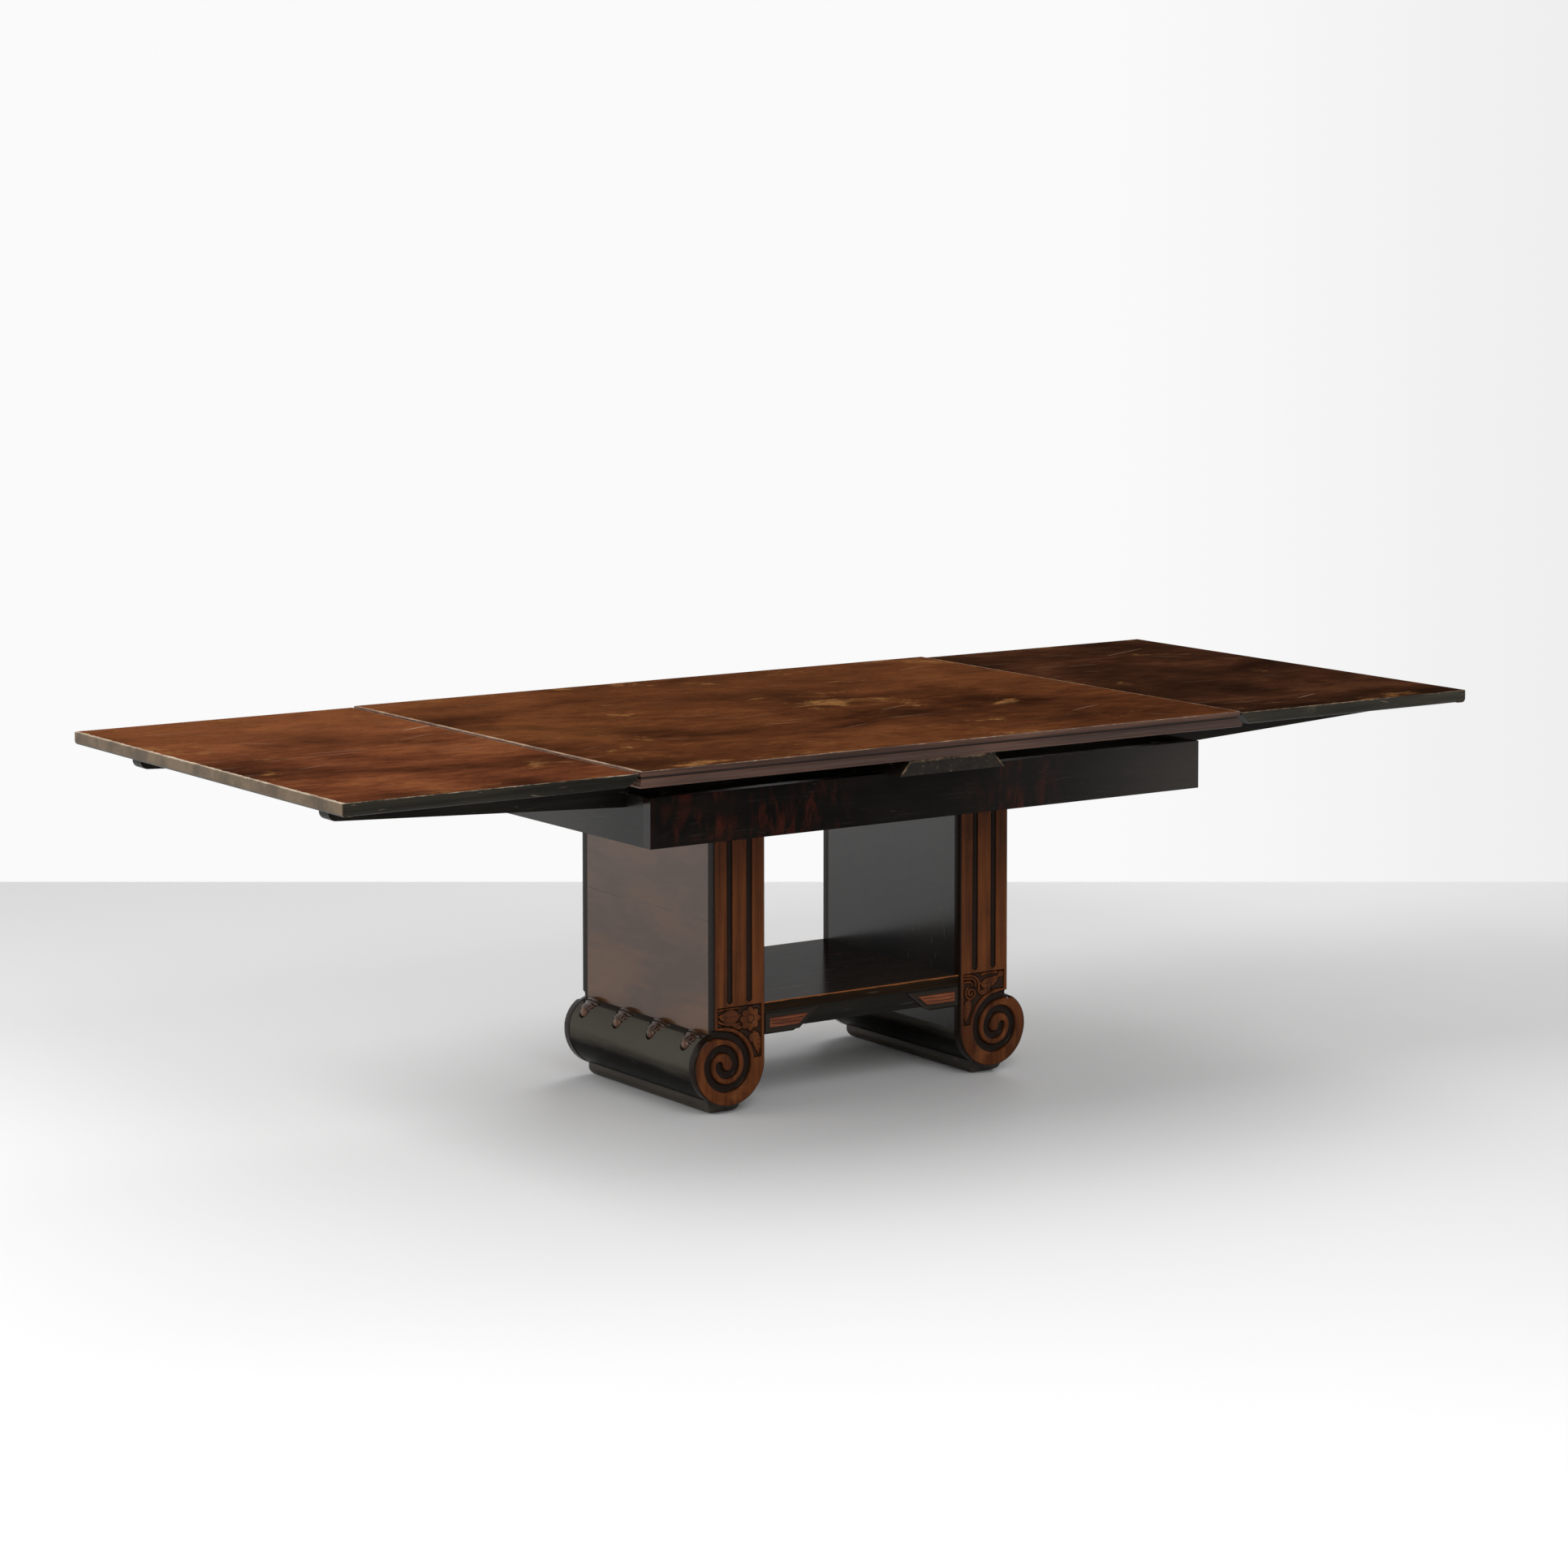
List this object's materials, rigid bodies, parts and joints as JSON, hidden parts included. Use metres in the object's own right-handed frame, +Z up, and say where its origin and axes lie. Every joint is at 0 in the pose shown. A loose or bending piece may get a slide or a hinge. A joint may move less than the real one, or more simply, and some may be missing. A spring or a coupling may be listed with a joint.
{
  "type": "extending dining table",
  "caption": "Draw-leaf dining table shown drawn out: loose moulded top, sliding leaves on tapered bearers, slab pedestals with fluted, scrolled stiles and a shelf.",
  "frame": {"origin": "centre of the base, on the floor", "axes": "+X along the table's length, +Z up, the front at -Y"},
  "size_m": [2.788, 1.142, 0.78],
  "materials": {
    "top_veneer": "worn French polish",
    "leaf_veneer": "French polish",
    "moulding": "polish",
    "mahogany": "polish",
    "carving": "polish",
    "pedestal_veneer": "gloss polish",
    "dark_veneer": "gloss polish",
    "ebonised": "ebonised, worn at the arrises",
    "inner_wood": "bare wood",
    "steel": "dull steel"
  },
  "bodies": {
    "base": {"bearer_guides": "inner_wood", "centre_board": "moulding", "centre_board_screws": "steel", "corner_blocks": "inner_wood", "front_apron_rail": "dark_veneer", "left_drop_ornaments": "carving", "left_end_rail": "dark_veneer", "left_foot_runner": "dark_veneer", "left_front_stile": "mahogany", "left_pedestal_blocks": "inner_wood", "left_pedestal_cap": "inner_wood", "left_pedestal_inner_panel": "pedestal_veneer", "left_pedestal_outer_panel": "pedestal_veneer", "left_rear_stile": "mahogany", "left_scroll_barrel": "dark_veneer", "pedestal_screws": "steel", "rear_apron_rail": "dark_veneer", "right_drop_ornaments": "carving", "right_end_rail": "dark_veneer", "right_foot_runner": "dark_veneer", "right_front_stile": "mahogany", "right_pedestal_blocks": "inner_wood", "right_pedestal_cap": "inner_wood", "right_pedestal_inner_panel": "pedestal_veneer", "right_pedestal_outer_panel": "pedestal_veneer", "right_rear_stile": "mahogany", "right_scroll_barrel": "dark_veneer", "shelf_board": "dark_veneer", "shelf_cleats": "inner_wood", "shelf_front_fascia": "dark_veneer", "shelf_front_insets": "carving", "shelf_rear_fascia": "dark_veneer", "shelf_rear_insets": "carving", "shelf_screws": "steel"},
    "top": {"top_front_moulding": "moulding", "top_left_moulding": "moulding", "top_locating_pegs": "inner_wood", "top_panel": "top_veneer", "top_rear_moulding": "moulding", "top_right_moulding": "moulding"},
    "left_leaf": {"left_leaf_bearer_screws": "steel", "left_leaf_bearer_stops": "inner_wood", "left_leaf_front_bearer": "ebonised", "left_leaf_front_edge": "ebonised", "left_leaf_inner_edge": "leaf_veneer", "left_leaf_outer_edge": "ebonised", "left_leaf_panel": "leaf_veneer", "left_leaf_rear_bearer": "ebonised", "left_leaf_rear_edge": "ebonised"},
    "right_leaf": {"right_leaf_bearer_screws": "steel", "right_leaf_bearer_stops": "inner_wood", "right_leaf_front_bearer": "ebonised", "right_leaf_front_edge": "ebonised", "right_leaf_inner_edge": "leaf_veneer", "right_leaf_outer_edge": "ebonised", "right_leaf_panel": "leaf_veneer", "right_leaf_rear_bearer": "ebonised", "right_leaf_rear_edge": "ebonised"}
  },
  "joints": [
    {"name": "top_lift", "type": "slide", "parent": "base", "child": "top", "axis": [0, 0, 1], "range_m": [0, 0.06]},
    {"name": "left_leaf_draw", "type": "slide", "parent": "base", "child": "left_leaf", "axis": [-0.9988, 0, 0.049], "range_m": [0, 0.012]},
    {"name": "right_leaf_draw", "type": "slide", "parent": "base", "child": "right_leaf", "axis": [0.9988, 0, 0.049], "range_m": [0, 0.012]}
  ]
}
